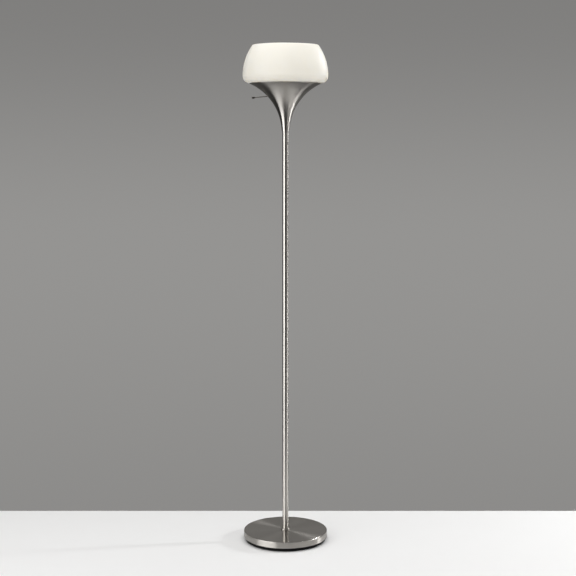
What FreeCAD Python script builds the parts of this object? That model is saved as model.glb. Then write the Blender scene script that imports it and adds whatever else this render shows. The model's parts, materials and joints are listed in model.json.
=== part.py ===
import FreeCAD, Part
import math
import os
import re
import Sketcher

# A torchiere floor lamp: a weighted round base, a slim pole in screwed sections, a spun metal
# trumpet that hides the lampholder, and an opal glass shade that rests on the trumpet's rim.
# The origin is the centre of the underside of the base, +Z runs up the pole, and the turn
# switch points towards -X.  Everything is in millimetres and degrees.

POLE_SECTIONS = 3
FOOT_PADS = 5
PAN_SCREWS = 3
KNOB_FLUTES = 10

LEAST_CUT = 1  # cubic millimetres: a cut that takes out less has missed its body
SAME_POINT = 1e-4  # millimetres: points nearer than this are one point

SIZES = [
    # base
    ("base_r", 152.5, "outer radius of the base cover"),
    ("base_top_z", 36.5, "height of the base's top face"),
    ("cover_edge_z", 14, "height of the cover's lower edge"),
    ("cover_wall", 1.2, "sheet of the base cover"),
    ("cover_round", 2.5, "rounding of the cover's upper edge"),
    ("pad_r", 9, "radius of a foot pad"),
    ("pad_height", 1.5, "thickness of a foot pad"),
    ("pad_set_in", 17.7, "distance from the pan's side in to the middle of a foot pad"),
    ("pan_set_in", 6.8, "distance from the cover's side in to the pan's side"),
    ("pan_wall", 2.5, "wall and floor of the pan"),
    ("pan_flange_gap", 0.8, "step from the cover's lower edge up to the pan's flange"),
    ("pan_flange_height", 2.2, "thickness of the pan's flange"),
    ("weight_disc_height", 12, "thickness of the cast weight's disc"),
    ("weight_side_gap", 0.5, "room between the weight and the pan's wall"),
    ("hub_wall", 10, "iron left around the recess in the weight's hub"),
    ("hub_floor", 6.3, "iron left above the recess in the hub"),
    ("recess_room", 6, "room around the clamping washer in the recess"),
    ("weight_rim_wall", 4, "width of the weight's raised rim"),
    ("channel_width", 36, "width of the wiring channel in the weight"),
    ("channel_roof", 2, "iron left above the wiring channel"),
    ("screw_set_in", 47.7, "distance from the weight's side in to the middle of a pan screw"),
    ("screw_r", 2, "radius of a pan screw"),
    ("screw_head_r", 4, "radius of a pan screw's countersunk head"),
    ("screw_head_height", 2, "height of a pan screw's countersunk head"),
    ("screw_length", 11, "length of a pan screw"),
    ("cord_bore_r", 3.1, "bore of the cord bush"),
    ("bush_r", 4, "radius of the cord bush in the pan's wall"),
    ("bush_flange_r", 5, "radius of the cord bush's flanges"),
    ("bush_flange", 1.5, "thickness of the cord bush's flanges"),
    ("bush_play", 0.15, "room between the cord bush's inner flange and the pan's round wall"),
    # pole
    ("pole_r", 11.1, "outer radius of the pole"),
    ("pole_wall", 1, "wall of the pole's tubes"),
    ("pole_rise", 1455, "height of the trumpet's foot above the base's top face"),
    ("collar_width", 5.4, "width of the collar around the pole's foot"),
    ("collar_height", 5.5, "height of the collar at the pole's foot"),
    ("collar_floor", 1.5, "thickness of the collar under the pole"),
    ("collar_round", 2, "rounding of the collar's upper edge"),
    ("plug_height", 12, "height of the threaded plugs in the tubes' ends"),
    ("nipple_r", 5, "radius of the threaded nipples"),
    ("nipple_bore_r", 3.5, "bore of the threaded nipples"),
    ("nipple_stand", 5, "length of nipple that stands past a plug or a nut"),
    ("nipple_tail", 1, "length of nipple that stands below the nut in the base"),
    ("nut_flats", 14, "width across the flats of the nuts"),
    ("nut_height", 5, "thickness of the nuts"),
    ("washer_r", 14, "radius of the base's clamping washer"),
    ("neck_washer_room", 2, "room around the washer in the trumpet's foot"),
    ("washer_height", 1.6, "thickness of the washers"),
    ("lock_washer_r", 9, "radius of the lock washer"),
    ("lock_washer_height", 1, "thickness of the lock washer"),
    # trumpet
    ("trumpet_height", 166, "height of the trumpet"),
    ("trumpet_wall", 1.2, "sheet of the trumpet"),
    ("neck_step", 2.2, "step from the pole's side out to the trumpet's foot"),
    ("trumpet_rim_r", 127, "outer radius of the trumpet's rim"),
    ("neck_lean", 2.1, "lean of the trumpet's wall at its foot"),
    # lampholder
    ("socket_rise", 100.5, "height of the lampholder's cap above the trumpet's foot"),
    ("socket_wall", 0.6, "sheet of the lampholder's shell and screw shell"),
    ("cap_wall", 0.9, "sheet of the lampholder's cap"),
    ("cap_height", 14, "height of the lampholder's cap"),
    ("cap_round", 9, "rounding of the cap's lower edge"),
    ("shell_lift", 9.5, "height of the shell's lower edge above the cap's underside"),
    ("liner_wall", 0.7, "thickness of the insulating liner"),
    ("liner_set_back", 2, "step from the shell's ends to the liner's ends"),
    ("block_lift", 15, "height of the switch block above the cap's underside"),
    ("block_height", 25, "height of the switch block"),
    ("screw_shell_r", 13.25, "inner radius of the screw shell"),
    ("screw_shell_height", 26, "height of the screw shell"),
    ("liner_room", 1.65, "room between the screw shell and the liner"),
    ("contact_r", 3, "radius of the centre contact"),
    ("contact_height", 4, "height of the centre contact"),
    # turn switch
    ("switch_droop", 5.8, "fall of the switch's axis below the level, outwards"),
    ("rotor_r", 6, "radius of the switch's rotor"),
    ("rotor_start", 4, "distance from the pole's axis to the rotor"),
    ("rotor_length", 8.5, "length of the rotor"),
    ("rotor_gap", 0.1, "running clearance around the rotor"),
    ("stem_r", 1.6, "radius of the switch's stem"),
    ("stem_hole_gap", 1.4, "room around the stem where it passes a wall"),
    ("switch_reach", 119.5, "distance from the pole's axis to the knob's end"),
    ("knob_length", 10.5, "length of the knob"),
    ("knob_r", 3.3, "radius of the knob"),
    ("knob_round", 1, "rounding of the knob's ends"),
    ("flute_r", 0.45, "radius of the knob's flutes"),
    # shade and its seat
    ("shade_height", 130.5, "height of the glass shade"),
    ("shade_corner_r", 24, "rounding of the shade's lower corner, past the trumpet's rim"),
    ("shade_taper", 34, "how far the upper rim stands in from the shade's widest place"),
    ("shade_wall", 4, "thickness of the glass"),
    ("shade_lip_share", 0.5005, "radius of the glass's lip over its thickness, just past a half"),
    ("shade_ledge", 15, "width of the flat floor of the glass, over the trumpet's rim"),
    ("seat_lift", 0.5, "room between the trumpet's rim and the glass that its seat holds up"),
    ("seat_gap", 1, "room between the shade's opening and the seat's lip"),
    ("seat_lip_wall", 2.5, "thickness of the seat's lip"),
    ("seat_lip_height", 7, "height of the seat's lip above the shade's floor"),
    ("seat_edge", 3, "step from the trumpet's rim to the seat's outer edge"),
    # bulb
    ("bulb_r", 33.5, "radius of the bulb's globe"),
    ("bulb_length", 127, "length of the bulb"),
    ("bulb_glass", 0.8, "thickness of the bulb's glass"),
    ("bulb_cap_gap", 0.3, "room between the bulb's cap and the screw shell"),
    ("bulb_cap_height", 22, "height of the bulb's cap"),
    ("bulb_tip_r", 4.5, "radius of the bulb's end contact"),
    ("bulb_tip_height", 2, "height of the bulb's end contact"),
    ("bulb_collar_height", 4, "height of the bulb's insulating collar"),
    # leads
    ("lead_r", 1.1, "radius of an insulated lead"),
    ("lead_gap", 1, "room between the two leads in the pole"),
    ("lead_rise", 0.4, "straight length of a lead between its bend and the nipple's end"),
    ("lead_run", 58, "distance from the pole's axis to a lead's end in the base"),
    ("lead_spread", 9, "angle of a lead's run away from the middle of the channel"),
    ("connector_r", 4.5, "radius of a twist-on connector"),
    ("connector_tip_r", 3.15, "radius of a twist-on connector's closed end"),
    ("connector_length", 18, "length of a twist-on connector"),
    ("connector_grip", 8, "length of lead inside a connector"),
    # clearances
    ("fit_gap", 0.05, "clearance around a pressed or screwed fit"),
]

# Heights and radii that follow from the sizes above.
PLACES = [
    ("pan_r", "base_r - pan_set_in"),
    ("pad_ring_r", "pan_r - pad_set_in"),
    ("recess_r", "washer_r + recess_room"),
    ("hub_r", "recess_r + hub_wall"),
    ("channel_height", "weight_disc_height - channel_roof"),
    ("pan_top_z", "cover_edge_z + pan_flange_gap + pan_flange_height"),
    ("weight_bottom_z", "pad_height + pan_wall"),
    ("weight_r", "pan_r - pan_wall - weight_side_gap"),
    ("screw_ring_r", "weight_r - screw_set_in"),
    ("cord_z", "weight_bottom_z + channel_height / 2"),
    ("cover_under_z", "base_top_z - cover_wall"),
    ("recess_top_z", "cover_under_z - hub_floor"),
    ("base_nut_z", "recess_top_z - washer_height - lock_washer_height - nut_height"),
    ("nipple_end_z", "base_nut_z - nipple_tail"),
    ("lead_bend_r", "nipple_end_z - lead_rise - cord_z"),
    ("pole_bottom_z", "base_top_z + collar_floor"),
    ("collar_r", "pole_r + collar_width"),
    ("trumpet_z", "base_top_z + pole_rise"),
    ("section_length", "(trumpet_z - pole_bottom_z) / " + str(POLE_SECTIONS)),
    ("thread_hole_r", "nipple_r + fit_gap"),
    ("neck_r", "pole_r + neck_step"),
    ("rim_z", "trumpet_z + trumpet_height"),
    ("flare_chord", "sqrt((trumpet_rim_r - neck_r)^2 + trumpet_height^2)"),
    ("flare_slope", "atan((trumpet_rim_r - neck_r) / trumpet_height) / 1 deg"),
    ("flare_radius", "flare_chord / (2 * sin(flare_slope - neck_lean))"),
    ("flare_centre_r", "neck_r + flare_radius * cos(neck_lean)"),
    ("flare_centre_z", "trumpet_z - flare_radius * sin(neck_lean)"),
    ("flare_rim_lean", "2 * flare_slope - neck_lean"),
    ("flare_inner_radius", "flare_radius + trumpet_wall"),
    ("neck_floor_z", "trumpet_z + trumpet_wall"),
    ("neck_inner_r", "flare_centre_r - sqrt(flare_inner_radius^2 - (neck_floor_z - flare_centre_z)^2)"),
    ("rim_inner_r", "flare_centre_r - flare_inner_radius * cos(flare_rim_lean)"),
    ("rim_inner_z", "flare_centre_z + flare_inner_radius * sin(flare_rim_lean)"),
    ("neck_washer_r", "neck_inner_r - neck_washer_room"),
    ("seat_z", "rim_inner_z + seat_lift"),
    ("cap_z", "trumpet_z + socket_rise"),
    ("socket_r", "screw_shell_r + 2 * socket_wall + liner_room + liner_wall + fit_gap"),
    ("cap_r", "socket_r + fit_gap + cap_wall"),
    ("shell_inner_r", "socket_r - socket_wall"),
    ("liner_r", "shell_inner_r - fit_gap"),
    ("block_r", "liner_r - liner_wall - fit_gap"),
    ("block_z", "cap_z + block_lift"),
    ("block_top_z", "block_z + block_height"),
    ("socket_top_z", "block_top_z + screw_shell_height + liner_set_back"),
    ("bulb_z", "block_top_z + contact_height"),
    ("switch_z", "block_z + block_height / 2"),
    ("stem_end", "switch_reach / cos(switch_droop)"),
    ("stem_hole_r", "stem_r + stem_hole_gap"),
    ("shade_hole_r", "trumpet_rim_r - shade_ledge"),
    ("shade_r", "trumpet_rim_r + shade_corner_r"),
    ("shade_rim_r", "shade_r - shade_taper"),
    ("shade_wide_z", "seat_z + shade_corner_r"),
    ("shade_rise", "shade_height - shade_corner_r"),
    ("shade_side_radius", "(shade_rise^2 + shade_taper^2) / (2 * shade_taper)"),
    ("shade_rim_lean", "asin(shade_rise / shade_side_radius) / 1 deg"),
    ("shade_lip_radius", "shade_wall * shade_lip_share"),
    ("shade_inner_rim_r", "shade_rim_r - shade_wall * cos(shade_rim_lean)"),
    ("shade_inner_rim_z", "seat_z + shade_height - shade_wall * sin(shade_rim_lean)"),
    ("lip_r", "shade_hole_r - seat_gap"),
    ("lip_inner_r", "lip_r - seat_lip_wall"),
    ("seat_r", "rim_inner_r - seat_edge"),
    ("seat_edge_z", "flare_centre_z + sqrt(flare_inner_radius^2 - (flare_centre_r - seat_r)^2)"),
    ("lip_foot_z", "flare_centre_z + sqrt(flare_inner_radius^2 - (flare_centre_r - lip_inner_r)^2)"),
    ("bulb_cap_r", "screw_shell_r - bulb_cap_gap"),
    ("bulb_neck_r", "bulb_cap_r"),
    ("bulb_collar_z", "bulb_z + bulb_tip_height"),
    ("bulb_cap_z", "bulb_collar_z + bulb_collar_height"),
    ("bulb_neck_z", "bulb_cap_z + bulb_cap_height"),
    ("globe_z", "bulb_z + bulb_length - bulb_r"),
    ("lead_x", "lead_r + lead_gap / 2"),
]

doc = FreeCAD.newDocument("torchiere_lamp")
sheet_of = {}
nodes = []


def fill_sheet(title, rows):
    """A spreadsheet with one row for each named value."""
    sheet = doc.addObject("Spreadsheet::Sheet", title)
    for line, row in enumerate(rows, start=1):
        name, content = row[0], row[1]
        cell = "B" + str(line)
        sheet.set("A" + str(line), name)
        sheet.set(cell, "=" + bound(content) if isinstance(content, str) else str(content))
        sheet.setAlias(cell, name)
        if len(row) > 2:
            sheet.set("C" + str(line), row[2])
    for row in rows:
        sheet_of[row[0]] = title
    doc.recompute()
    return sheet


def bound(expression):
    """The expression with its sheet's name before each value that a finished sheet holds."""
    def with_sheet(match):
        word = match.group(0)
        return sheet_of[word] + "." + word if word in sheet_of else word
    return re.sub(r"[a-z_][a-z_0-9]*", with_sheet, expression)


def number(expression):
    """What an expression comes to now, used to start a sketch near its solution."""
    result = sizes.evalExpression(bound(expression))
    return float(FreeCAD.Units.Quantity(result).Value)


def settle():
    """Recompute the document and stop at the first object that failed."""
    doc.recompute()
    for thing in doc.Objects:
        if "Invalid" in thing.State or "Error" in thing.State:
            raise RuntimeError(thing.Name + " (" + thing.Label + ") failed: " + str(thing.State))


def expect_cut(body, before, what):
    """Stop if the body still has the volume that it had before the cut."""
    settle()
    if body.Shape.Volume > before - LEAST_CUT:
        raise RuntimeError(what + " cuts nothing out of its body")


def origin_plane(body, role):
    return [feature for feature in body.Origin.OriginFeatures if feature.Role == role][0]


def new_sketch(body, name, plane, offset=None):
    """A sketch on one of the body's own origin planes, moved along its normal by offset."""
    sketch = body.newObject("Sketcher::SketchObject", name)
    sketch.AttachmentSupport = [(origin_plane(body, plane), "")]
    sketch.MapMode = "FlatFace"
    if offset:
        sketch.setExpression("AttachmentOffset.Base.z", bound(offset))
    return sketch


def constrain(sketch, name, expression, *what):
    """One dimension of a sketch, bound to an expression."""
    index = sketch.addConstraint(Sketcher.Constraint(*what, number(expression)))
    sketch.renameConstraint(index, name)
    sketch.setExpression("Constraints." + name, bound(expression))


def pin_point(sketch, name, geometry, end, across, up):
    """Hold a point of the sketch at a place given by two expressions."""
    for axis, line, kind, expression in (("x", -2, "DistanceX", across), ("y", -1, "DistanceY", up)):
        if expression == "0":
            sketch.addConstraint(Sketcher.Constraint("PointOnObject", geometry, end, line))
        else:
            constrain(sketch, name + axis, expression, kind, -1, 1, geometry, end)


def arc_between(start, finish, radius, side):
    """The shorter arc from start to finish whose centre is on the given side of the way there."""
    way = finish - start
    middle = (start + finish) / 2
    across = FreeCAD.Vector(-way.y, way.x, 0).normalize()
    if side == "right":
        across = across * -1
    depth = math.sqrt(max(radius ** 2 - (way.Length / 2) ** 2, 0))
    centre = middle + across * depth
    crown = centre - across * radius
    return Part.Arc(start, crown, finish)


def draw(sketch, name, points, closed=True):
    """Lines and arcs through the points.  A point is (across, up), or, where an arc leads on to
    the next point, (across, up, radius, side of its centre)."""
    places = [FreeCAD.Vector(number(point[0]), number(point[1]), 0) for point in points]
    count = len(points) if closed else len(points) - 1
    ends = []
    for index in range(count):
        start = places[index]
        finish = places[(index + 1) % len(points)]
        point = points[index]
        if len(point) == 2:
            geometry = sketch.addGeometry(Part.LineSegment(start, finish), False)
        else:
            arc = arc_between(start, finish, number(point[2]), point[3])
            geometry = sketch.addGeometry(arc, False)
            constrain(sketch, name + "r" + str(index), point[2], "Radius", geometry)
        forward = sketch.getPoint(geometry, 1).distanceToPoint(start) < SAME_POINT
        ends.append((geometry, 1 if forward else 2, 2 if forward else 1))
    for index, (geometry, start_end, finish_end) in enumerate(ends):
        pin_point(sketch, name + str(index), geometry, start_end, points[index][0], points[index][1])
        if index + 1 < count or closed:
            follower = ends[(index + 1) % len(ends)]
            sketch.addConstraint(
                Sketcher.Constraint("Coincident", geometry, finish_end, follower[0], follower[1]))
        else:
            pin_point(sketch, name + "end", geometry, finish_end, points[-1][0], points[-1][1])


def draw_circle(sketch, name, across, up, radius):
    centre = FreeCAD.Vector(number(across), number(up), 0)
    circle = Part.Circle(centre, FreeCAD.Vector(0, 0, 1), number(radius))
    geometry = sketch.addGeometry(circle, False)
    constrain(sketch, name + "r", radius, "Radius", geometry)
    pin_point(sketch, name, geometry, 3, across, up)


def keep(label, thing):
    """Name a finished sub-part and list it for writing."""
    thing.Label = label
    nodes.append(thing)
    return thing


def make_turned(points, centre="0", copies=1):
    """A body turned about the vertical line at the given distance from Z, and its copies around Z."""
    body = doc.addObject("PartDesign::Body", "turned")
    sketch = new_sketch(body, "profile", "XZ_Plane")
    if centre == "0":
        axis = "V_Axis"
    else:
        foot = FreeCAD.Vector(number(centre), 0, 0)
        top = FreeCAD.Vector(number(centre), number(points[2][1]), 0)
        line = sketch.addGeometry(Part.LineSegment(foot, top), True)
        pin_point(sketch, "axisfoot", line, 1, centre, "0")
        pin_point(sketch, "axistop", line, 2, centre, points[2][1])
        axis = "Axis0"
    draw(sketch, "p", points)
    turn = body.newObject("PartDesign::Revolution", "turn")
    turn.Profile = sketch
    turn.ReferenceAxis = (sketch, [axis])
    turn.Angle = 360
    if copies > 1:
        body.AllowCompound = True
        pattern = body.newObject("PartDesign::PolarPattern", "around")
        pattern.Originals = [turn]
        pattern.Axis = (origin_plane(body, "Z_Axis"), [""])
        pattern.Angle = 360
        pattern.Occurrences = copies
        body.Tip = pattern
    return body


def turned(label, points):
    return keep(label, make_turned(points))


def ring(inner, outer, low, high):
    """The outline of a plain ring or tube."""
    return [(inner, low), (outer, low), (outer, high), (inner, high)]


def solid_round(radius, low, high):
    return [("0", low), (radius, low), (radius, high), ("0", high)]


def place(thing, along_x="0", along_z="0"):
    """Bind where a thing's own origin lies."""
    for axis, expression in (("x", along_x), ("z", along_z)):
        if expression != "0":
            thing.setExpression("Placement.Base." + axis, bound(expression))


def turn_to(thing, axis, angle):
    """Turn a thing about an axis through its own origin, by an angle in degrees."""
    turn = FreeCAD.Rotation(FreeCAD.Vector(*axis), number(angle))
    thing.Placement = FreeCAD.Placement(FreeCAD.Vector(), turn)
    thing.setExpression("Placement.Rotation.Angle", bound(angle))


def lay_on_switch_axis(thing, start="0"):
    """Point a thing's own +Z outwards along the switch's axis, from start onwards."""
    turn_to(thing, (0, -1, 0), "90 + switch_droop")
    place(
        thing,
        along_x="-cos(switch_droop) * " + start,
        along_z="switch_z - sin(switch_droop) * " + start,
    )


def cut(label, base, tool):
    result = doc.addObject("Part::Cut", "cut")
    result.Base = base
    result.Tool = tool
    return keep(label, result)


def rod(radius, length):
    cylinder = doc.addObject("Part::Cylinder", "rod")
    cylinder.setExpression("Radius", bound(radius))
    cylinder.setExpression("Height", bound(length))
    return cylinder


def stem_hole():
    """The clearance hole that a wall has for the switch's stem."""
    hole = rod("stem_hole_r", "stem_end - knob_length")
    lay_on_switch_axis(hole)
    return hole


def hex_nut(label, low):
    body = doc.addObject("PartDesign::Body", "nut")
    sketch = new_sketch(body, "hexagon", "XY_Plane", low)
    corner = "nut_flats / 2 / cos(30)"
    half = corner + " / 2"
    flat = "nut_flats / 2"
    draw(sketch, "p", [
        (corner, "0"),
        (half, flat),
        ("-" + half, flat),
        ("-" + corner, "0"),
        ("-" + half, "-" + flat),
        (half, "-" + flat),
    ])
    draw_circle(sketch, "hole", "0", "0", "thread_hole_r")
    pad = body.newObject("PartDesign::Pad", "pad")
    pad.Profile = sketch
    pad.setExpression("Length", bound("nut_height"))
    return keep(label, body)


def make_base_cover():
    inner_round = "(cover_round - cover_wall)"
    turned("base_cover", [
        ("thread_hole_r", "cover_under_z"),
        ("base_r - cover_round", "cover_under_z", inner_round, "right"),
        ("base_r - cover_wall", "base_top_z - cover_round"),
        ("base_r - cover_wall", "cover_edge_z"),
        ("base_r", "cover_edge_z"),
        ("base_r", "base_top_z - cover_round", "cover_round", "left"),
        ("base_r - cover_round", "base_top_z"),
        ("thread_hole_r", "base_top_z"),
    ])


def make_pan():
    """The black pan under the cover, with holes for its screws and the cord bush."""
    flange_r = "base_r - cover_wall - fit_gap"
    flange_z = "cover_edge_z + pan_flange_gap"
    inner_r = "pan_r - pan_wall"
    blank = make_turned([
        ("0", "pad_height"),
        ("pan_r", "pad_height"),
        ("pan_r", flange_z),
        (flange_r, flange_z),
        (flange_r, "pan_top_z"),
        (inner_r, "pan_top_z"),
        (inner_r, "weight_bottom_z"),
        ("0", "weight_bottom_z"),
    ])
    screw_holes = doc.addObject("Part::Cut", "screw_holes")
    screw_holes.Base = blank
    screw_holes.Tool = screws("fit_gap")
    cord_hole = rod("bush_r + fit_gap", "base_r")
    turn_to(cord_hole, (-1, 0, 0), "90")
    place(cord_hole, along_z="cord_z")
    cut("base_pan", screw_holes, cord_hole)


def screws(gap):
    """The countersunk screws from the pan into the weight, grown by a gap on every radius."""
    centre = "screw_ring_r"
    head = centre + " + screw_head_r + " + gap
    shank = centre + " + screw_r + " + gap
    head_top = "pad_height + screw_head_height"
    end = "pad_height + screw_length + " + gap
    outline = [(centre, "pad_height"), (head, "pad_height"), (shank, head_top), (shank, end), (centre, end)]
    return make_turned(outline, centre, PAN_SCREWS)


def make_weight():
    """The cast weight: a disc, a hub that the nipple clamps, a raised rim and a wiring channel."""
    disc_top = "weight_bottom_z + weight_disc_height"
    rim_inner_r = "weight_r - weight_rim_wall"
    body = make_turned([
        ("recess_r", "weight_bottom_z"),
        ("weight_r", "weight_bottom_z"),
        ("weight_r", "cover_under_z"),
        (rim_inner_r, "cover_under_z"),
        (rim_inner_r, disc_top),
        ("hub_r", disc_top),
        ("hub_r", "cover_under_z"),
        ("thread_hole_r", "cover_under_z"),
        ("thread_hole_r", "recess_top_z"),
        ("recess_r", "recess_top_z"),
    ])
    settle()
    before = body.Shape.Volume
    sketch = new_sketch(body, "channel", "XY_Plane", "weight_bottom_z")
    half = "channel_width / 2"
    draw(sketch, "c", [("-" + half, "0"), (half, "0"), (half, "base_r"), ("-" + half, "base_r")])
    channel = body.newObject("PartDesign::Pocket", "channel_cut")
    channel.Profile = sketch
    channel.setExpression("Length", bound("channel_height"))
    channel.Reversed = True
    expect_cut(body, before, "the wiring channel")
    cut("base_weight", body, screws("fit_gap"))


def make_cord_bush():
    """The bush at the back of the pan, where the supply cord goes in."""
    inner_face = "pan_r - pan_wall - bush_play"
    start = inner_face + " - bush_flange"
    body = turned("cord_bush", [
        ("cord_bore_r", start),
        ("bush_flange_r", start),
        ("bush_flange_r", inner_face),
        ("bush_r", inner_face),
        ("bush_r", "pan_r"),
        ("bush_flange_r", "pan_r"),
        ("bush_flange_r", "pan_r + bush_flange / 2"),
        ("bush_flange_r - bush_flange / 2", "pan_r + bush_flange"),
        ("cord_bore_r", "pan_r + bush_flange"),
    ])
    turn_to(body, (-1, 0, 0), "90")
    place(body, along_z="cord_z")


def make_foot_pads():
    centre = "pad_ring_r"
    edge = centre + " + pad_r"
    outline = [(centre, "0"), (edge, "0"), (edge, "pad_height"), (centre, "pad_height")]
    keep("foot_pads", make_turned(outline, centre, FOOT_PADS))


def make_base_clamp():
    """The nipple through the base, with the washers and the nut that draw it tight."""
    nut_top = "base_nut_z + nut_height"
    lock_top = nut_top + " + lock_washer_height"
    nipple_top = "pole_bottom_z + plug_height + nipple_stand"
    turned("base_nipple", ring("nipple_bore_r", "nipple_r", "nipple_end_z", nipple_top))
    turned("base_washer", ring("thread_hole_r", "washer_r", lock_top, "recess_top_z"))
    turned("base_lock_washer", ring("thread_hole_r", "lock_washer_r", nut_top, lock_top))
    hex_nut("base_nut", "base_nut_z")


def make_collar():
    """The turned collar that the pole stands in."""
    collar_top = "base_top_z + collar_height"
    bore = "pole_r + fit_gap"
    turned("pole_collar", [
        ("thread_hole_r", "base_top_z"),
        ("collar_r", "base_top_z"),
        ("collar_r", collar_top + " - collar_round", "collar_round", "left"),
        ("collar_r - collar_round", collar_top),
        (bore, collar_top),
        (bore, "pole_bottom_z"),
        ("thread_hole_r", "pole_bottom_z"),
    ])


def make_pole():
    """The pole's tubes, each with a threaded plug in both ends, joined by short nipples."""
    inner_r = "pole_r - pole_wall"
    plug_r = inner_r + " - fit_gap"
    for section in range(POLE_SECTIONS):
        low = "pole_bottom_z + section_length * " + str(section)
        high = "pole_bottom_z + section_length * " + str(section + 1)
        name = "pole_section_" + str(section + 1)
        turned(name, ring(inner_r, "pole_r", low, high))
        turned(name + "_lower_plug", ring("thread_hole_r", plug_r, low, low + " + plug_height"))
        turned(name + "_upper_plug", ring("thread_hole_r", plug_r, high + " - plug_height", high))
        if section > 0:
            reach = "(plug_height + nipple_stand)"
            joint = ring("nipple_bore_r", "nipple_r", low + " - " + reach, low + " + " + reach)
            turned("pole_joint_nipple_" + str(section), joint)


def make_trumpet():
    """The spun trumpet: one long flare with a closed foot, and a hole for the switch's stem."""
    blank = make_turned([
        ("thread_hole_r", "trumpet_z"),
        ("neck_r", "trumpet_z", "flare_radius", "right"),
        ("trumpet_rim_r", "rim_z"),
        ("rim_inner_r", "rim_inner_z", "flare_inner_radius", "left"),
        ("neck_inner_r", "neck_floor_z"),
        ("thread_hole_r", "neck_floor_z"),
    ])
    cut("trumpet", blank, stem_hole())


def make_head_clamp():
    """The long nipple that carries the lampholder, with its nuts and washers."""
    washer_top = "neck_floor_z + washer_height"
    turned("head_nipple", ring("nipple_bore_r", "nipple_r", "trumpet_z - plug_height - nipple_stand",
                               "cap_z + cap_wall + nipple_stand"))
    turned("neck_washer", ring("thread_hole_r", "neck_washer_r", "neck_floor_z", washer_top))
    hex_nut("neck_nut", washer_top)
    turned("socket_washer", ring("thread_hole_r", "neck_washer_r", "cap_z - washer_height", "cap_z"))
    hex_nut("socket_nut", "cap_z - washer_height - nut_height")


def make_socket():
    """The lampholder: cap, shell, liner, switch block, screw shell and centre contact."""
    inner_round = "(cap_round - cap_wall)"
    flat_r = "cap_r - cap_round"
    turned("socket_cap", [
        ("thread_hole_r", "cap_z"),
        (flat_r, "cap_z", "cap_round", "left"),
        ("cap_r", "cap_z + cap_round"),
        ("cap_r", "cap_z + cap_height"),
        ("cap_r - cap_wall", "cap_z + cap_height"),
        ("cap_r - cap_wall", "cap_z + cap_round", inner_round, "right"),
        (flat_r, "cap_z + cap_wall"),
        ("thread_hole_r", "cap_z + cap_wall"),
    ])
    shell = make_turned(ring("shell_inner_r", "socket_r", "cap_z + shell_lift", "socket_top_z"))
    cut("socket_shell", shell, stem_hole())
    liner = make_turned(ring("liner_r - liner_wall", "liner_r", "cap_z + shell_lift + liner_set_back",
                             "socket_top_z - liner_set_back"))
    cut("socket_liner", liner, stem_hole())
    rotor_bore = rod("rotor_r + rotor_gap", "block_r")
    lay_on_switch_axis(rotor_bore, "(rotor_start - rotor_gap)")
    cut("switch_block", make_turned(solid_round("block_r", "block_z", "block_top_z")), rotor_bore)
    turned("screw_shell", ring("screw_shell_r", "screw_shell_r + socket_wall", "block_top_z",
                               "socket_top_z - liner_set_back"))
    turned("centre_contact", [
        ("0", "block_top_z"),
        ("contact_r", "block_top_z"),
        ("contact_r", "block_top_z + contact_height / 2"),
        ("contact_r / 2", "bulb_z"),
        ("0", "bulb_z"),
    ])


def make_switch():
    """The turning pieces of the switch, each made along its own Z and laid on the switch's axis."""
    stem_start = "rotor_start + rotor_length"
    rotor = turned("switch_rotor", solid_round("rotor_r", "rotor_start", stem_start))
    knob_start = "stem_end - knob_length"
    grip = knob_start + " + knob_length / 2"
    stem = turned("switch_stem", solid_round("stem_r", stem_start, grip))
    knob = make_turned([
        ("stem_r + fit_gap", knob_start),
        ("knob_r - knob_round", knob_start, "knob_round", "left"),
        ("knob_r", knob_start + " + knob_round"),
        ("knob_r", "stem_end - knob_round", "knob_round", "left"),
        ("knob_r - knob_round", "stem_end"),
        ("0", "stem_end"),
        ("0", grip),
        ("stem_r + fit_gap", grip),
    ])
    settle()
    before = knob.Shape.Volume
    flute_sketch = new_sketch(knob, "flute", "XY_Plane", knob_start)
    draw_circle(flute_sketch, "f", "knob_r", "0", "flute_r")
    flute = knob.newObject("PartDesign::Pocket", "flute_cut")
    flute.Profile = flute_sketch
    flute.setExpression("Length", bound("knob_length"))
    flute.Reversed = True
    settle()
    around = knob.newObject("PartDesign::PolarPattern", "flutes_around")
    around.Originals = [flute]
    around.Axis = (origin_plane(knob, "Z_Axis"), [""])
    around.Angle = 360
    around.Occurrences = KNOB_FLUTES
    knob.Tip = around
    expect_cut(knob, before, "the flutes")
    keep("switch_knob", knob)
    for piece in (rotor, stem, knob):
        lay_on_switch_axis(piece)


def make_seat():
    """The soft ring in the trumpet's mouth: the glass rests on it, round its lip."""
    turned("shade_seat", [
        ("lip_inner_r", "lip_foot_z", "flare_inner_radius", "right"),
        ("seat_r", "seat_edge_z"),
        ("seat_r", "seat_z"),
        ("lip_r", "seat_z"),
        ("lip_r", "seat_z + seat_lip_height"),
        ("lip_inner_r", "seat_z + seat_lip_height"),
    ])


def make_shade():
    """The blown glass: a curved side that leans in to the rim, a tight corner and an open floor."""
    corner_centre_r = "trumpet_rim_r"
    inner_corner = "(shade_corner_r - shade_wall)"
    inner_side = "(shade_side_radius - shade_wall)"
    turned("shade", [
        ("shade_hole_r", "seat_z"),
        (corner_centre_r, "seat_z", "shade_corner_r", "left"),
        ("shade_r", "shade_wide_z", "shade_side_radius", "left"),
        ("shade_rim_r", "seat_z + shade_height", "shade_lip_radius", "left"),
        ("shade_inner_rim_r", "shade_inner_rim_z", inner_side, "right"),
        ("shade_r - shade_wall", "shade_wide_z", inner_corner, "right"),
        (corner_centre_r, "seat_z + shade_wall"),
        ("shade_hole_r", "seat_z + shade_wall"),
    ])


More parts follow.
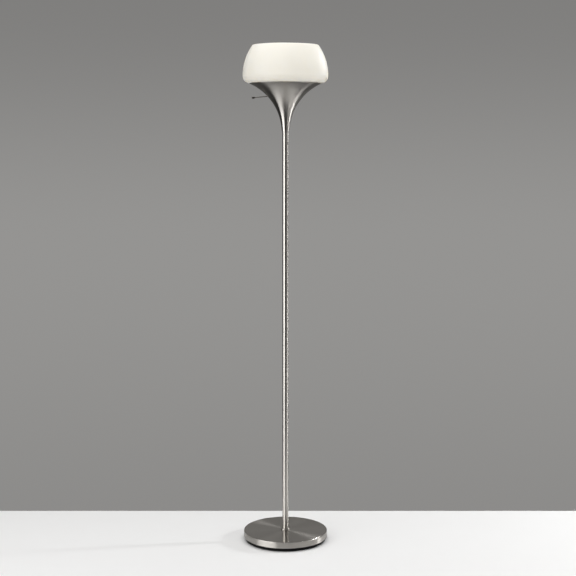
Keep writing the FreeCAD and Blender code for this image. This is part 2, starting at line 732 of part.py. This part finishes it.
def make_bulb():
    """The bulb: a hollow globe whose neck stands on the rim of its screw cap, a collar and a contact."""
    turned("bulb_contact", solid_round("bulb_tip_r", "bulb_z", "bulb_collar_z"))
    turned("bulb_collar", [
        ("0", "bulb_collar_z"),
        ("bulb_tip_r", "bulb_collar_z"),
        ("bulb_cap_r - bulb_tip_height", "bulb_cap_z"),
        ("0", "bulb_cap_z"),
    ])
    cap_floor = "bulb_cap_z + bulb_glass"
    turned("bulb_cap", [
        ("0", "bulb_cap_z"),
        ("bulb_cap_r - bulb_tip_height", "bulb_cap_z"),
        ("bulb_cap_r", "bulb_cap_z + bulb_tip_height"),
        ("bulb_cap_r", "bulb_neck_z"),
        ("bulb_cap_r - bulb_glass", "bulb_neck_z"),
        ("bulb_cap_r - bulb_glass", "bulb_cap_z + bulb_tip_height"),
        ("bulb_cap_r - bulb_tip_height - bulb_glass", cap_floor),
        ("0", cap_floor),
    ])
    # The globe's side leaves the sphere where it can sweep down to an upright neck in one arc.
    sweep = "((globe_z - bulb_neck_z)^2 + bulb_neck_r^2 - bulb_r^2) / (2 * (bulb_r - bulb_neck_r))"
    turned("bulb_globe", globe_outline(sweep))


def globe_outline(sweep):
    """Upright at the neck, one arc out to the sphere, over its top, and back down inside."""
    reach = "(bulb_neck_r + " + sweep + ")"
    join = "(bulb_r / (bulb_r + " + sweep + "))"
    inner_join = "((bulb_r - bulb_glass) / (bulb_r + " + sweep + "))"
    drop = "(globe_z - bulb_neck_z)"
    inner_r = "(bulb_r - bulb_glass)"
    inner_sweep = "(" + sweep + " + bulb_glass)"
    return [
        ("bulb_neck_r", "bulb_neck_z", sweep, "right"),
        (reach + " * " + join, "globe_z - " + drop + " * " + join, "bulb_r", "left"),
        ("bulb_r", "globe_z", "bulb_r", "left"),
        ("0", "globe_z + bulb_r"),
        ("0", "globe_z + bulb_r - bulb_glass", inner_r, "right"),
        ("bulb_r - bulb_glass", "globe_z", inner_r, "right"),
        (reach + " * " + inner_join, "globe_z - " + drop + " * " + inner_join, inner_sweep, "left"),
        ("bulb_neck_r - bulb_glass", "bulb_neck_z"),
    ]


def make_lead(label, side):
    """One insulated lead: from its connector in the base, round one bend and straight up the pole
    to the switch block."""
    body = doc.addObject("PartDesign::Body", "lead")
    spine = new_sketch(body, "route", "YZ_Plane")
    draw(spine, "s", [
        ("lead_run", "cord_z"),
        ("lead_bend_r", "cord_z", "lead_bend_r", "right"),
        ("0", "cord_z + lead_bend_r"),
        ("0", "block_z"),
    ], closed=False)
    section = new_sketch(body, "section", "XZ_Plane", "-lead_run")
    draw_circle(section, "w", "0", "cord_z", "lead_r")
    pipe = body.newObject("PartDesign::AdditivePipe", "pipe")
    pipe.Profile = section
    pipe.Spine = (spine, ["Edge1", "Edge2", "Edge3"])
    turn_to(body, (0, 0, -side), "lead_spread")
    place(body, along_x=("" if side > 0 else "-") + "lead_x")
    keep(label, body)


def make_connector(side):
    """A twist-on connector over the end of a lead."""
    start = "lead_run - connector_grip"
    body = make_turned([
        ("lead_r + fit_gap", start),
        ("connector_r", start),
        ("connector_tip_r", start + " + connector_length"),
        ("0", start + " + connector_length"),
        ("0", "lead_run"),
        ("lead_r + fit_gap", "lead_run"),
    ])
    level = FreeCAD.Rotation(FreeCAD.Vector(-1, 0, 0), 90)
    spread = FreeCAD.Rotation(FreeCAD.Vector(0, 0, -side), number("lead_spread"))
    body.Placement = FreeCAD.Placement(FreeCAD.Vector(), spread.multiply(level))
    place(body, along_x=("" if side > 0 else "-") + "lead_x", along_z="cord_z")
    return body


def make_leads():
    make_lead("live_lead", 1)
    make_lead("neutral_lead", -1)
    pair = doc.addObject("Part::Compound", "pair")
    pair.Links = [make_connector(1), make_connector(-1)]
    keep("lead_connectors", pair)


sizes = fill_sheet("Sizes", SIZES)
fill_sheet("Places", PLACES)

make_foot_pads()
make_pan()
keep("pan_screws", screws("0"))
make_weight()
make_cord_bush()
make_base_cover()
make_base_clamp()
make_collar()
make_pole()
make_trumpet()
make_head_clamp()
make_socket()
make_switch()
make_seat()
make_shade()
make_bulb()
make_leads()

settle()
for node in nodes:
    if node.Shape.isNull() or not node.Shape.isValid() or not node.Shape.Solids:
        raise RuntimeError(node.Label + " has no valid solid")

os.makedirs("parts", exist_ok=True)
for node in nodes:
    node.Shape.exportStep(os.path.join("parts", node.Label + ".step"))
    box = node.Shape.BoundBox
    print(node.Label, len(node.Shape.Solids), round(node.Shape.Volume),
          [round(edge, 1) for edge in (box.XMin, box.YMin, box.ZMin, box.XMax, box.YMax, box.ZMax)])
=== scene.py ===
"""Looks of the torchiere floor lamp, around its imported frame: materials, screw threads, studio, camera."""
import json
import math

import bpy
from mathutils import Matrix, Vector


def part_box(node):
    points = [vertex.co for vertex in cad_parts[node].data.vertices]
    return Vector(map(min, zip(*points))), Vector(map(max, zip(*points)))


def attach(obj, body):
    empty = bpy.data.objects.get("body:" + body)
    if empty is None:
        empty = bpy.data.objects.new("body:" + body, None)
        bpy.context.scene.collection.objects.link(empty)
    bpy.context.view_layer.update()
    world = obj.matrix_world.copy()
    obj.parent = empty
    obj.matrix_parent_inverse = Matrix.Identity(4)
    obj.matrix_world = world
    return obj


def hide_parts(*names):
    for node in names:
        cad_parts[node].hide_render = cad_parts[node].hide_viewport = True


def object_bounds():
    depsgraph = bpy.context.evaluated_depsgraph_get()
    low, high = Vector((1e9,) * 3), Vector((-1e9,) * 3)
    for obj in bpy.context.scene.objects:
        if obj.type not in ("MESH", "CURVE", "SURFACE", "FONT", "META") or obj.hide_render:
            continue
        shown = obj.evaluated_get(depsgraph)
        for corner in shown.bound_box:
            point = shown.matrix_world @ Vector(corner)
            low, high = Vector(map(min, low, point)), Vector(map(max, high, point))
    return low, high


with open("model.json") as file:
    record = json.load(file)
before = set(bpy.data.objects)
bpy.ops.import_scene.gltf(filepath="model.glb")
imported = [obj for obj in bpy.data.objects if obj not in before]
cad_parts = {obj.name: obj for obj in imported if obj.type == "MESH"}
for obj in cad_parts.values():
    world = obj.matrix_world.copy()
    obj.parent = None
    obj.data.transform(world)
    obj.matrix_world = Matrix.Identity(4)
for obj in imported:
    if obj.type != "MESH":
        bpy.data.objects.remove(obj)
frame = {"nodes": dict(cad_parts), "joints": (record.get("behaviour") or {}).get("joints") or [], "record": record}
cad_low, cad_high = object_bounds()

MM = 0.001
NODES = frame["nodes"]
SLOT_OF = {row["node"]: row["material_slot"] for row in frame["record"]["subparts"]}
SWITCH = next(joint for joint in frame["joints"] if joint["name"] == "switch_turn")


# ---- node helpers ------------------------------------------------------------------------------

def start_material(name):
    """A new material with an empty node tree, its shader and its output."""
    material = bpy.data.materials.new(name)
    material.use_nodes = True
    tree = material.node_tree
    tree.nodes.clear()
    output = tree.nodes.new("ShaderNodeOutputMaterial")
    shader = tree.nodes.new("ShaderNodeBsdfPrincipled")
    tree.links.new(shader.outputs["BSDF"], output.inputs["Surface"])
    return material, tree, shader


def feed(tree, socket, value):
    """Links an output to a socket, or sets the socket to a plain value."""
    if isinstance(value, bpy.types.NodeSocket):
        tree.links.new(value, socket)
    else:
        socket.default_value = value


def maths(tree, operation, first, second=0.0):
    """One Math node's result."""
    node = tree.nodes.new("ShaderNodeMath")
    node.operation = operation
    feed(tree, node.inputs[0], first)
    feed(tree, node.inputs[1], second)
    return node.outputs[0]


def span(tree, value, low, high):
    """A value from 0 to 1 spread from low to high."""
    node = tree.nodes.new("ShaderNodeMapRange")
    feed(tree, node.inputs["Value"], value)
    node.inputs["To Min"].default_value = low
    node.inputs["To Max"].default_value = high
    return node.outputs["Result"]


def place_of(tree, axis=None):
    """The surface point in the lamp's own frame, turned so that axis is Z where one is given."""
    point = tree.nodes.new("ShaderNodeTexCoord").outputs["Object"]
    if axis is None:
        return point
    mapping = tree.nodes.new("ShaderNodeMapping")
    mapping.vector_type = "POINT"
    turn = Vector(axis).rotation_difference(Vector((0, 0, 1)))
    mapping.inputs["Rotation"].default_value = turn.to_euler()
    centre = Vector(SWITCH["pos_m"])
    centre.rotate(turn)
    mapping.inputs["Location"].default_value = -centre
    tree.links.new(point, mapping.inputs["Vector"])
    return mapping.outputs["Vector"]


def polar(tree, point):
    """Distance from the Z axis, angle around it as a share of a turn, and height."""
    split = tree.nodes.new("ShaderNodeSeparateXYZ")
    tree.links.new(point, split.inputs[0])
    across, deep, up = split.outputs
    radius = maths(tree, "SQRT", maths(tree, "ADD", maths(tree, "MULTIPLY", across, across),
                                       maths(tree, "MULTIPLY", deep, deep)))
    angle = maths(tree, "DIVIDE", maths(tree, "ARCTAN2", deep, across), 2 * math.pi)
    return radius, angle, up


def join(tree, first, second, third):
    """Three values as one vector."""
    node = tree.nodes.new("ShaderNodeCombineXYZ")
    for socket, value in zip(node.inputs, (first, second, third)):
        feed(tree, socket, value)
    return node.outputs[0]


def noise(tree, vector, size, detail=2.0, roughness=0.5):
    """Noise with grains of about that size in metres."""
    node = tree.nodes.new("ShaderNodeTexNoise")
    node.noise_dimensions = "3D"
    tree.links.new(vector, node.inputs["Vector"])
    node.inputs["Scale"].default_value = 1 / size
    node.inputs["Detail"].default_value = detail
    node.inputs["Roughness"].default_value = roughness
    return node.outputs[0]


def bump(tree, height, depth):
    """A normal bent by a bump of that depth in metres."""
    node = tree.nodes.new("ShaderNodeBump")
    node.inputs["Strength"].default_value = 1.0
    node.inputs["Distance"].default_value = depth
    tree.links.new(height, node.inputs["Height"])
    return node.outputs[0]


def blend(tree, share, first, second):
    """A colour between two colours."""
    node = tree.nodes.new("ShaderNodeMix")
    node.data_type = "RGBA"
    feed(tree, node.inputs["Factor"], share)
    for name, colour in (("A", first), ("B", second)):
        socket = next(i for i in node.inputs if i.name == name and i.type == "RGBA")
        feed(tree, socket, colour if isinstance(colour, bpy.types.NodeSocket) else (*colour, 1))
    return next(o for o in node.outputs if o.type == "RGBA")


# ---- materials ---------------------------------------------------------------------------------

HAIR_WIDTH = 0.16 * MM
STROKE_WIDTH = 1.3 * MM
HANDLING_SIZE = 45 * MM
# How far each kind of mark runs round the metal: a smaller share of the angle draws it out longer.
HAIR_DRAW = 0.02
STROKE_DRAW = 0.006
HAIR_SHARE = 0.55
STROKE_SHARE = 0.3
HANDLING_SHARE = 0.15
HAIR_DEPTH = 0.004 * MM
ROUGH_SPREAD = 0.05
DARK_MARK = 0.86
LIGHT_MARK = 1.1
BRUSHING = 0.97
QUARTER_TURN = 0.25


def brushed(name, colour, rough, flat_rough=None, axis=None):
    """Satin metal brushed round its axis: hair lines round it draw its highlights out across them.
    Faces square to the axis may be finer, with a roughness of their own."""
    material, tree, shader = start_material(name)
    radius, angle, up = polar(tree, place_of(tree, axis))
    hair_lines = join(tree, radius, maths(tree, "MULTIPLY", angle, HAIR_DRAW), up)
    hair = noise(tree, hair_lines, HAIR_WIDTH, detail=3.0, roughness=0.6)
    stroke_lines = join(tree, maths(tree, "ADD", radius, up),
                        maths(tree, "MULTIPLY", angle, STROKE_DRAW), 0.0)
    strokes = noise(tree, stroke_lines, STROKE_WIDTH)
    handling = noise(tree, place_of(tree), HANDLING_SIZE)
    slow_marks = maths(tree, "ADD", maths(tree, "MULTIPLY", strokes, STROKE_SHARE),
                       maths(tree, "MULTIPLY", handling, HANDLING_SHARE))
    marks = maths(tree, "ADD", maths(tree, "MULTIPLY", hair, HAIR_SHARE), slow_marks)
    dark = [DARK_MARK * c for c in colour]
    light = [min(1.0, LIGHT_MARK * c) for c in colour]
    feed(tree, shader.inputs["Base Color"], blend(tree, marks, dark, light))
    uneven = span(tree, marks, rough - ROUGH_SPREAD, rough + ROUGH_SPREAD)
    if flat_rough is not None:
        facing = tree.nodes.new("ShaderNodeSeparateXYZ")
        tree.links.new(tree.nodes.new("ShaderNodeNewGeometry").outputs["Normal"], facing.inputs[0])
        finer = maths(tree, "MULTIPLY", maths(tree, "ABSOLUTE", facing.outputs[2]), rough - flat_rough)
        uneven = maths(tree, "SUBTRACT", uneven, finer)
    feed(tree, shader.inputs["Roughness"], uneven)
    shader.inputs["Metallic"].default_value = 1.0
    shader.inputs["Anisotropic"].default_value = BRUSHING
    shader.inputs["Anisotropic Rotation"].default_value = QUARTER_TURN
    feed(tree, shader.inputs["Normal"], bump(tree, hair, HAIR_DEPTH))
    if axis is None:
        tangent = tree.nodes.new("ShaderNodeTangent")
        tangent.direction_type = "RADIAL"
        tangent.axis = "Z"
        tree.links.new(tangent.outputs[0], shader.inputs["Tangent"])
    return material


SLOW_GRAINS = 25


def grained(name, colour, spread, grain, depth, rough, metallic=0.0, specular=0.5, coat=0.0):
    """A cast, moulded or plated surface: fine grain in bump and roughness, with a slow change of tone."""
    material, tree, shader = start_material(name)
    point = place_of(tree)
    fine = noise(tree, point, grain, detail=4.0, roughness=0.6)
    slow = noise(tree, point, SLOW_GRAINS * grain, detail=2.0)
    tone = maths(tree, "ADD", maths(tree, "MULTIPLY", fine, 0.5), maths(tree, "MULTIPLY", slow, 0.5))
    dark = [(1 - spread) * c for c in colour]
    light = [min(1.0, (1 + spread) * c) for c in colour]
    feed(tree, shader.inputs["Base Color"], blend(tree, tone, dark, light))
    feed(tree, shader.inputs["Roughness"], span(tree, tone, rough[0], rough[1]))
    shader.inputs["Metallic"].default_value = metallic
    shader.inputs["Specular IOR Level"].default_value = specular
    shader.inputs["Coat Weight"].default_value = coat
    feed(tree, shader.inputs["Normal"], bump(tree, fine, depth))
    return material


WAVE_SIZE = 30 * MM
WAVE_DEPTH = 0.03 * MM
RING_SIZE = 9 * MM
RING_DRAW = 0.05
CLOUD_SIZE = 70 * MM
MILK_DEEP = (0.875, 0.82, 0.715)
MILK_PALE = (0.895, 0.845, 0.75)
MILK_REACH = 12 * MM


def opal(name):
    """Blown opal glass: milky right through, with a soft gloss and the faint waves of its mould."""
    material, tree, shader = start_material(name)
    point = place_of(tree)
    radius, angle, up = polar(tree, point)
    waves = noise(tree, point, WAVE_SIZE, detail=1.0)
    ring_lines = join(tree, radius, maths(tree, "MULTIPLY", angle, RING_DRAW), up)
    rings = noise(tree, ring_lines, RING_SIZE, detail=2.0)
    cloud = noise(tree, point, CLOUD_SIZE, detail=3.0)
    feed(tree, shader.inputs["Base Color"], blend(tree, cloud, MILK_DEEP, MILK_PALE))
    feed(tree, shader.inputs["Roughness"], span(tree, rings, 0.4, 0.5))
    shader.inputs["Subsurface Weight"].default_value = 0.8
    shader.inputs["Subsurface Radius"].default_value = (1.0, 0.95, 0.85)
    shader.inputs["Subsurface Scale"].default_value = MILK_REACH
    shader.inputs["IOR"].default_value = 1.5
    shader.inputs["Specular IOR Level"].default_value = 0.15
    feed(tree, shader.inputs["Normal"], bump(tree, waves, WAVE_DEPTH))
    return material


# Each grained finish: its colour, how far its tone spreads, the size and depth of its grain in mm, its least
# and most roughness, and any other setting.
GRAINED = {
    # The black pan is painted darker than black plastic: partly its own black, partly painted shade in the gap
    # under the cover's edge.
    "black_pan": ((0.005, 0.005, 0.005), 0.3, 0.5, 0.06, (0.6, 0.8), {"specular": 0.15}),
    "foam_rubber": ((0.035, 0.035, 0.037), 0.4, 0.4, 0.12, (0.8, 0.95), {}),
    "cast_iron": ((0.09, 0.088, 0.085), 0.35, 1.4, 0.3, (0.55, 0.8), {"metallic": 0.6}),
    "zinc_steel": ((0.66, 0.66, 0.63), 0.12, 0.3, 0.01, (0.25, 0.42), {"metallic": 1.0}),
    "rubber_bush": ((0.03, 0.03, 0.03), 0.25, 0.4, 0.04, (0.55, 0.75), {}),
    "socket_brass": ((0.78, 0.62, 0.33), 0.1, 0.5, 0.008, (0.2, 0.35), {"metallic": 1.0}),
    "liner_board": ((0.55, 0.47, 0.36), 0.2, 0.6, 0.05, (0.75, 0.9), {}),
    "moulded_block": ((0.05, 0.04, 0.035), 0.25, 0.4, 0.02, (0.3, 0.5), {}),
    "thread_aluminium": ((0.80, 0.80, 0.81), 0.08, 0.4, 0.01, (0.25, 0.4), {"metallic": 1.0}),
    "seat_silicone": ((0.80, 0.80, 0.78), 0.05, 0.7, 0.02, (0.5, 0.65), {}),
    "bulb_glass": ((0.90, 0.895, 0.87), 0.03, 1.2, 0.01, (0.25, 0.4), {"coat": 0.3}),
    "bulb_collar": ((0.02, 0.02, 0.02), 0.3, 0.5, 0.01, (0.1, 0.22), {"coat": 0.5}),
    "solder": ((0.70, 0.70, 0.69), 0.15, 0.8, 0.05, (0.3, 0.5), {"metallic": 1.0}),
    "lead_black": ((0.02, 0.02, 0.02), 0.3, 0.6, 0.01, (0.25, 0.4), {}),
    "lead_white": ((0.80, 0.80, 0.77), 0.05, 0.6, 0.01, (0.25, 0.4), {}),
    "connector_plastic": ((0.55, 0.30, 0.05), 0.12, 0.5, 0.02, (0.4, 0.55), {}),
}
NICKEL = (0.60, 0.575, 0.54)
# The switch's stem and knob are the same nickel, painted at about half its brightness: painted shade on the thin
# stem below the shade.
SWITCH_NICKEL_PAINTED_SHADE = (0.30, 0.28, 0.26)
# The base cover and collar are the same nickel as the pole, painted darker: painted shade on the base.
BASE_NICKEL_PAINTED_SHADE = [0.88 * c for c in NICKEL]


def dress(thing, material):
    """Gives an object one material."""
    if thing.material_slots:
        for slot in thing.material_slots:
            slot.link = "OBJECT"
            slot.material = material
    else:
        thing.data.materials.append(material)


def dress_nodes():
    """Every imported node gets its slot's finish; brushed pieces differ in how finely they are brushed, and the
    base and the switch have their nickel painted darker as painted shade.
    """
    finishes = {"opal_glass": opal("opal_glass")}
    for slot, (colour, spread, grain, depth, rough, more) in GRAINED.items():
        finishes[slot] = grained(slot, colour, spread, grain * MM, depth * MM, rough, **more)
    on_pole = brushed("pole_nickel", NICKEL, rough=0.28)
    painted_shade_base = brushed("base_nickel_painted_shade", BASE_NICKEL_PAINTED_SHADE, rough=0.42, flat_rough=0.22)
    painted_shade_switch = brushed("switch_nickel_painted_shade", SWITCH_NICKEL_PAINTED_SHADE, rough=0.42, axis=SWITCH["axis"])
    polished = {
        "trumpet": brushed("trumpet_nickel", NICKEL, rough=0.29),
        "base_cover": painted_shade_base,
        "pole_collar": painted_shade_base,
        "switch_stem": painted_shade_switch,
        "switch_knob": painted_shade_switch,
    }
    for name, thing in NODES.items():
        if SLOT_OF[name] == "brushed_nickel":
            dress(thing, polished.get(name, on_pole))
        else:
            dress(thing, finishes[SLOT_OF[name]])


# ---- rolled screw threads ----------------------------------------------------------------------

THREAD_PITCH = 25.4 / 7 * MM
THREAD_DEPTH = 0.95 * MM
STEPS_AROUND = 96
STEPS_PER_TURN = 14
ANGLES = [2 * math.pi * index / STEPS_AROUND for index in range(STEPS_AROUND)]
INWARDS = -1
OUTWARDS = 1
SHARP_EDGE = math.radians(35)
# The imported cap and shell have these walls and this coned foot.
CAP_WALL = 0.8 * MM
CAP_CONE = 2 * MM
SHELL_WALL = 0.6 * MM


def thread_dip(angle, height, bottom, top):
    """How deep the rolled thread dips at a place, from 0 on its crest; it runs out at both ends."""
    turn = angle - 2 * math.pi * (height - bottom) / THREAD_PITCH
    run_out = min(1.0, (height - bottom) / THREAD_PITCH, (top - height) / THREAD_PITCH)
    return THREAD_DEPTH * run_out * (1 - math.cos(turn)) / 2


def level_ring(height, reaches):
    """A level ring of points, one at each angle's reach from the axis."""
    return [(reach * math.cos(angle), reach * math.sin(angle), height)
            for angle, reach in zip(ANGLES, reaches)]


def plain_ring(height, radius):
    """A round level ring of points."""
    return level_ring(height, [radius] * STEPS_AROUND)


def thread_rings(radius, bottom, top, way):
    """Rings of points up a rolled thread whose dips go inwards or outwards from that radius."""
    count = round((top - bottom) / THREAD_PITCH * STEPS_PER_TURN)
    rings = []
    for step in range(count + 1):
        height = bottom + (top - bottom) * step / count
        dips = [thread_dip(angle, height, bottom, top) for angle in ANGLES]
        rings.append(level_ring(height, [radius + way * dip for dip in dips]))
    return rings


def skin(name, rings, closed):
    """A surface over rings of points: closed back to the first ring, or with a flat disc at each end."""
    points = [point for ring in rings for point in ring]
    pairs = list(zip(range(len(rings) - 1), range(1, len(rings))))
    if closed:
        pairs.append((len(rings) - 1, 0))
    faces = []
    for first, second in pairs:
        for index in range(STEPS_AROUND):
            after = (index + 1) % STEPS_AROUND
            faces.append((first * STEPS_AROUND + index, first * STEPS_AROUND + after,
                          second * STEPS_AROUND + after, second * STEPS_AROUND + index))
    if not closed:
        last = (len(rings) - 1) * STEPS_AROUND
        faces.append(tuple(reversed(range(STEPS_AROUND))))
        faces.append(tuple(range(last, last + STEPS_AROUND)))
    mesh = bpy.data.meshes.new(name)
    mesh.from_pydata(points, [], faces)
    mesh.polygons.foreach_set("use_smooth", [True] * len(mesh.polygons))
    mesh.set_sharp_from_angle(angle=SHARP_EDGE)
    piece = bpy.data.objects.new(name, mesh)
    bpy.context.scene.collection.objects.link(piece)
    return piece


def stand_in_for(piece, node, body):
    """Puts a finer piece in a node's place, with the node's own finish."""
    dress(piece, NODES[node].material_slots[0].material)
    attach(piece, body)
    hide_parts(node)


def make_bulb_cap():
    """The bulb's screw cap: a thin cup with a coned foot and its thread rolled into the sheet."""
    low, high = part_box("bulb_cap")
    radius = high.x
    foot = radius - CAP_CONE
    side = low.z + CAP_CONE
    outer = thread_rings(radius, side, high.z, INWARDS)
    inner = thread_rings(radius - CAP_WALL, side, high.z, INWARDS)
    rings = [plain_ring(low.z, foot), *outer, *reversed(inner),
             plain_ring(low.z + CAP_WALL, foot - CAP_WALL)]
    stand_in_for(skin("bulb_screw_cap", rings, closed=False), "bulb_cap", "bulb")


def make_screw_shell():
    """The lampholder's screw shell: a sheet tube with the same thread rolled outwards."""
    low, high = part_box("screw_shell")
    bore = high.x - SHELL_WALL
    inner = thread_rings(bore, low.z, high.z, OUTWARDS)
    outer = thread_rings(bore + SHELL_WALL, low.z, high.z, OUTWARDS)
    rings = [*outer, *reversed(inner)]
    stand_in_for(skin("lampholder_screw_shell", rings, closed=True), "screw_shell", "stand")


# ---- studio ------------------------------------------------------------------------------------

FLOOR_BACK = 0.34
FLOOR_FRONT = 0.7
FLOOR_SIDE = 2.0
FLOOR_THICK = 0.02
PALE_GREY = (0.9, 0.9, 0.9)
FLOOR_GRAIN = 4 * MM
FLOOR_GRAIN_DEPTH = 0.02 * MM


def make_floor():
    """A plain pale floor; its back edge, a little behind the lamp, draws the line between floor and wall."""
    top = cad_low.z
    corners = [(x, y, z) for z in (top - FLOOR_THICK, top)
               for y in (-FLOOR_FRONT, FLOOR_BACK) for x in (-FLOOR_SIDE, FLOOR_SIDE)]
    faces = [(0, 2, 3, 1), (4, 5, 7, 6), (0, 1, 5, 4), (2, 6, 7, 3), (0, 4, 6, 2), (1, 3, 7, 5)]
    mesh = bpy.data.meshes.new("floor")
    mesh.from_pydata(corners, [], faces)
    floor = bpy.data.objects.new("floor", mesh)
    bpy.context.scene.collection.objects.link(floor)
    dress(floor, grained("floor_paint", PALE_GREY, 0.01, FLOOR_GRAIN, FLOOR_GRAIN_DEPTH, (0.6, 0.7),
                         specular=0.2))


def make_softbox(name, azimuth, elevation, distance, wide, tall, glow, target, mirrored=True, filling=True):
    """A rectangular light aimed at the target; azimuth 0 is the camera's side and positive is to the right.
    One that isn't mirrored doesn't show in the metal, and one that isn't filling shows only there."""
    data = bpy.data.lights.new(name, "AREA")
    data.shape = "RECTANGLE"
    data.size = wide
    data.size_y = tall
    data.energy = glow * math.pi * wide * tall
    light = bpy.data.objects.new(name, data)
    bpy.context.scene.collection.objects.link(light)
    turn, rise = math.radians(azimuth), math.radians(elevation)
    direction = Vector((math.sin(turn) * math.cos(rise), -math.cos(turn) * math.cos(rise), math.sin(rise)))
    light.location = target + distance * direction
    light.rotation_euler = (target - light.location).to_track_quat("-Z", "Y").to_euler()
    light.visible_camera = False
    light.visible_glossy = mirrored
    light.visible_diffuse = filling
    light.visible_transmission = filling


# What the metal mirrors, by direction: azimuth in degrees (0 towards the camera, positive to the right) and
# how bright the studio is there. It is dark in front, with a pale side at the right.
STUDIO_ROUND = [(-180, 0.10), (-118, 0.03), (-18, 0.01), (30, 0.005), (46, 0.30), (66, 0.40), (78, 0.04),
                (120, 0.04), (180, 0.10)]
# The wall behind as the camera sees it, by how far up a direction points.
WALL_UP = [(-0.40, 0.25), (-0.08, 0.30), (0.12, 0.215), (1.0, 0.2)]
WARM_GREY = (1, 0.985, 0.96)
# Overhead, the mirrored studio turns to an even glow: how much of it, by how far up a direction points.
ABOVE = [(0.10, 0.0), (0.35, 1.0)]
ABOVE_GLOW = (0.27, 0.265, 0.257)


def ramp(tree, value, low, high, stops, tint=(1, 1, 1)):
    """Brightness by a value that runs from low to high, smooth between the stops."""
    node = tree.nodes.new("ShaderNodeValToRGB")
    elements = node.color_ramp.elements
    while len(elements) < len(stops):
        elements.new(1.0)
    for element, (at, glow) in zip(elements, stops):
        element.position = (at - low) / (high - low)
        element.color = (*(glow * c for c in tint), 1)
    node.color_ramp.interpolation = "EASE"
    share = tree.nodes.new("ShaderNodeMapRange")
    feed(tree, share.inputs["Value"], value)
    share.inputs["From Min"].default_value = low
    share.inputs["From Max"].default_value = high
    tree.links.new(share.outputs["Result"], node.inputs[0])
    return node.outputs[0]


def make_world():
    """A grey studio: an even wall to the eye, and lighter and darker sides for the metal to mirror."""
    world = bpy.data.worlds.new("studio")
    bpy.context.scene.world = world
    world.use_nodes = True
    tree = world.node_tree
    tree.nodes.clear()
    direction = tree.nodes.new("ShaderNodeTexCoord").outputs["Generated"]
    split = tree.nodes.new("ShaderNodeSeparateXYZ")
    tree.links.new(direction, split.inputs[0])
    across, deep, up = split.outputs
    front = maths(tree, "MULTIPLY", deep, -1.0)
    azimuth = maths(tree, "DEGREES", maths(tree, "ARCTAN2", across, front))
    wall = ramp(tree, up, -1, 1, WALL_UP, WARM_GREY)
    around = ramp(tree, azimuth, -180, 180, STUDIO_ROUND, WARM_GREY)
    studio = blend(tree, ramp(tree, up, 0, 1, ABOVE), around, ABOVE_GLOW)
    seen = tree.nodes.new("ShaderNodeBackground")
    tree.links.new(wall, seen.inputs["Color"])
    mirrored = tree.nodes.new("ShaderNodeBackground")
    tree.links.new(studio, mirrored.inputs["Color"])
    mix = tree.nodes.new("ShaderNodeMixShader")
    tree.links.new(tree.nodes.new("ShaderNodeLightPath").outputs["Is Camera Ray"], mix.inputs[0])
    tree.links.new(mirrored.outputs[0], mix.inputs[1])
    tree.links.new(seen.outputs[0], mix.inputs[2])
    output = tree.nodes.new("ShaderNodeOutputWorld")
    tree.links.new(mix.outputs[0], output.inputs["Surface"])


def make_lights():
    """A wide softbox at the left front and a key at the right, with even light from above, below and the
    right. The shine and line lights show only in the metal: its bright edges and the base's streak."""
    middle = Vector((0, 0, (cad_low.z + cad_high.z) / 2))
    foot = Vector((0, 0, cad_low.z))
    # Name, azimuth and elevation in degrees, distance, width and height in metres, glow, target.
    make_softbox("left_softbox", -52, 4, 2.65, 2.7, 2.6, 1.55, middle)
    make_softbox("left_shine", -54, 4, 2.7, 2.2, 2.6, 1.5, middle, filling=False)
    make_softbox("right_key", 99, 23, 3.4, 0.16, 0.5, 150.0, foot, mirrored=False)
    make_softbox("right_line", 130, 44, 3.4, 0.14, 0.9, 80.0, foot, filling=False)
    make_softbox("right_shine", 103, 2, 3.4, 0.6, 2.8, 2.3, middle, filling=False)
    make_softbox("low_shine", 102, -24, 3.2, 0.5, 2.4, 6.0, middle, filling=False)
    make_softbox("overhead_fill", 0, 80, 2.8, 3.6, 3.6, 2.1, middle, mirrored=False)
    make_softbox("low_fill", 0, -24, 5.0, 4.5, 2.5, 3.3, middle, mirrored=False)
    make_softbox("right_fill", 72, 10, 3.0, 2.2, 2.6, 0.3, middle, mirrored=False)


CAMERA_DISTANCE = 4.348
CAMERA_HEIGHT = 1.452
CAMERA_PITCH = 6.83
CAMERA_LENS = 76.06
CAMERA_SHIFT = 0.0044


def make_camera():
    """The viewing angle: from eye height in front, a little down."""
    data = bpy.data.cameras.new("camera")
    data.lens = CAMERA_LENS
    data.shift_x = CAMERA_SHIFT
    camera = bpy.data.objects.new("camera", data)
    bpy.context.scene.collection.objects.link(camera)
    camera.location = (0, -CAMERA_DISTANCE, CAMERA_HEIGHT)
    camera.rotation_euler = (math.radians(90 - CAMERA_PITCH), 0, 0)
    bpy.context.scene.camera = camera


dress_nodes()
make_bulb_cap()
make_screw_shell()
make_floor()
make_world()
make_lights()
make_camera()
bpy.context.scene.view_settings.view_transform = "Standard"
